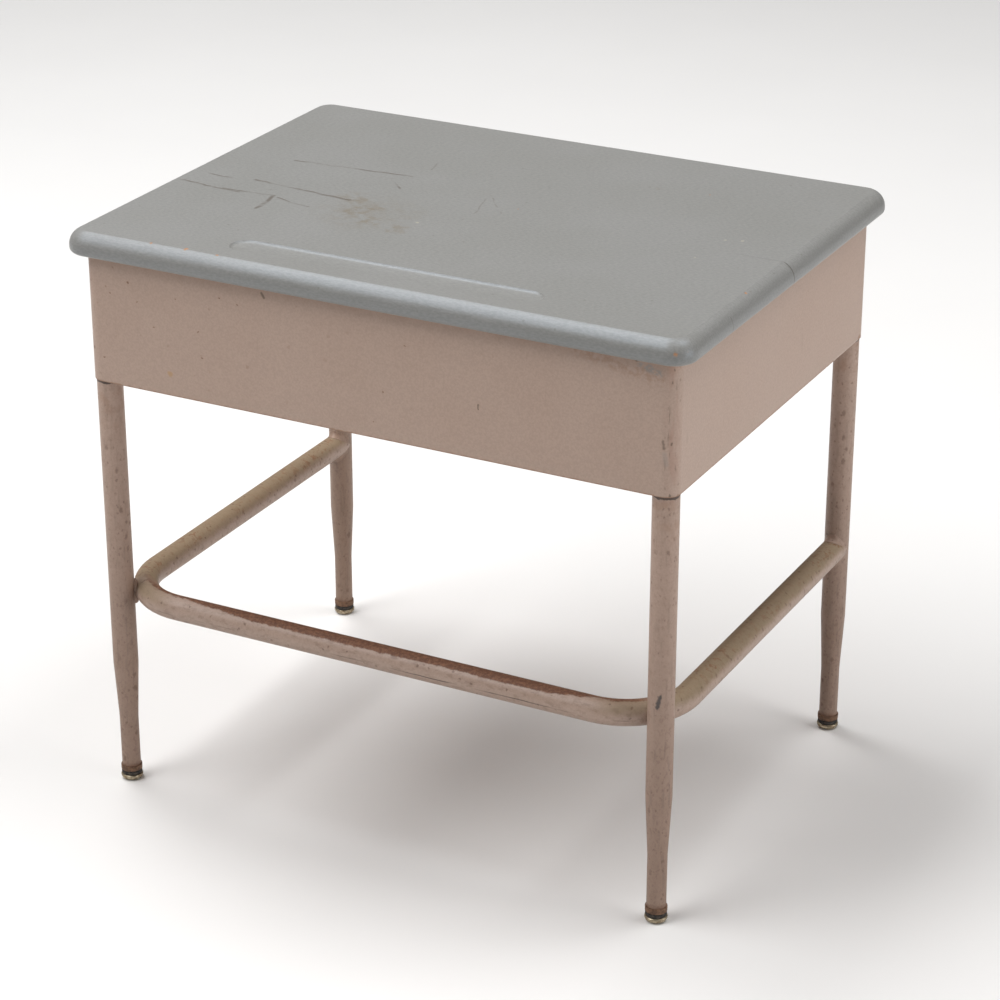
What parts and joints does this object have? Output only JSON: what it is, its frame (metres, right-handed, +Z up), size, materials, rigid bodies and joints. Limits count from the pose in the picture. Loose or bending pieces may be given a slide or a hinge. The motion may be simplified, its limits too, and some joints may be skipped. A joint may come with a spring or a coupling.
{
  "type": "school desk",
  "caption": "Pupil's desk: painted wooden top with rounded edge and pencil groove on an open-front steel book box, tapered tube legs and U foot rail.",
  "frame": {"origin": "on the floor, under the middle of the top", "axes": "+Z up; the sitter's open side faces -Y; +X to the sitter's right; the long side lies along X"},
  "size_m": [0.608, 0.456, 0.555],
  "materials": {
    "top_paint": "solid wood under satin silver-grey paint, scratched and cracked along the grain",
    "frame_paint": "semi-gloss dusty-taupe enamel, chipped and streaked",
    "worn_frame_paint": "the same enamel worn through to brown rust on top",
    "rusty_steel": "pressed steel, brown with rust",
    "glide_nickel": "nickel-plated steel, dulled and yellowed",
    "cushion_rubber": "black rubber, dusty",
    "plated_steel": "zinc-plated steel"
  },
  "bodies": {
    "desk": {"top_board_front": "top_paint", "top_board_2": "top_paint", "top_board_3": "top_paint", "top_board_4": "top_paint", "top_board_rear": "top_paint", "top_screws": "plated_steel", "book_box_shell": "frame_paint", "book_box_floor": "frame_paint", "opening_rail": "frame_paint", "foot_rail": "worn_frame_paint", "rail_welds": "frame_paint", "leg_welds": "frame_paint", "leg_front_left": "frame_paint", "glide_socket_front_left": "rusty_steel", "glide_cushion_front_left": "cushion_rubber", "glide_stem_front_left": "plated_steel", "leg_front_right": "frame_paint", "glide_socket_front_right": "rusty_steel", "glide_cushion_front_right": "cushion_rubber", "glide_stem_front_right": "plated_steel", "leg_rear_left": "frame_paint", "glide_socket_rear_left": "rusty_steel", "glide_cushion_rear_left": "cushion_rubber", "glide_stem_rear_left": "plated_steel", "leg_rear_right": "frame_paint", "glide_socket_rear_right": "rusty_steel", "glide_cushion_rear_right": "cushion_rubber", "glide_stem_rear_right": "plated_steel"},
    "base_front_left": {"glide_base_front_left": "glide_nickel"},
    "base_front_right": {"glide_base_front_right": "glide_nickel"},
    "base_rear_left": {"glide_base_rear_left": "glide_nickel"},
    "base_rear_right": {"glide_base_rear_right": "glide_nickel"}
  },
  "joints": [
    {"name": "swivel_front_left", "type": "hinge", "parent": "desk", "child": "base_front_left", "pos_m": [-0.2765, -0.2015, 0], "axis": [0, 0, 1], "continuous": true},
    {"name": "swivel_front_right", "type": "hinge", "parent": "desk", "child": "base_front_right", "pos_m": [0.2765, -0.2015, 0], "axis": [0, 0, 1], "continuous": true},
    {"name": "swivel_rear_left", "type": "hinge", "parent": "desk", "child": "base_rear_left", "pos_m": [-0.2765, 0.2015, 0], "axis": [0, 0, 1], "continuous": true},
    {"name": "swivel_rear_right", "type": "hinge", "parent": "desk", "child": "base_rear_right", "pos_m": [0.2765, 0.2015, 0], "axis": [0, 0, 1], "continuous": true}
  ]
}
